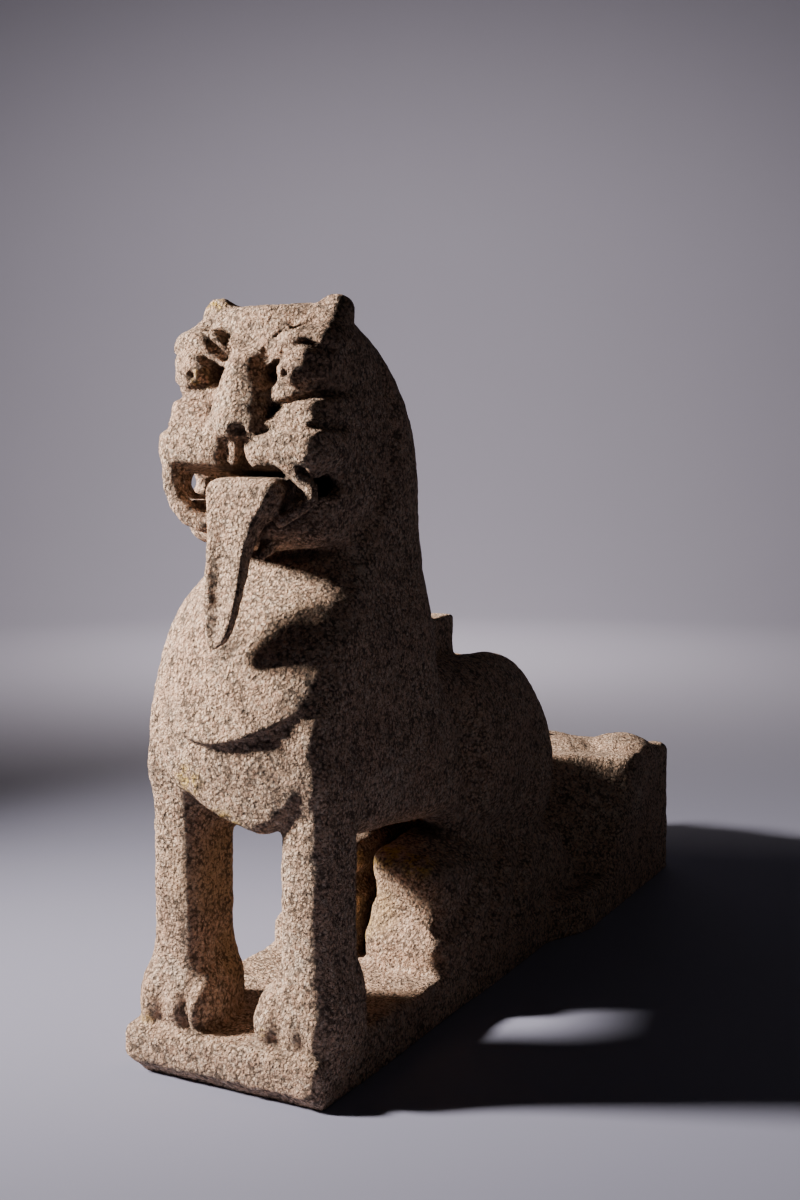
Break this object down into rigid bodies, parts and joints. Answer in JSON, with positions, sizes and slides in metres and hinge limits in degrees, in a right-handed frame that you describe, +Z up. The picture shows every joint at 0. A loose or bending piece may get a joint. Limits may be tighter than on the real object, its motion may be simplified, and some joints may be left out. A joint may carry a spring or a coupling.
{
  "type": "lion sculpture",
  "caption": "Weathered granite guardian lion on straight front legs, open mouth with hanging tongue, crouched haunches, on a thin plinth that runs back into a raw block.",
  "frame": {"origin": "centre of the bounding box, on the underside of the plinth", "axes": "+X to the lion's left, +Y towards its rear and the raw block, +Z up; the lion faces -Y"},
  "size_m": [0.3026, 0.9974, 0.8004],
  "materials": {
    "granite": "weathered coarse-grained granite, matt"
  },
  "bodies": {
    "root": {"lion": "granite"}
  },
  "joints": []
}
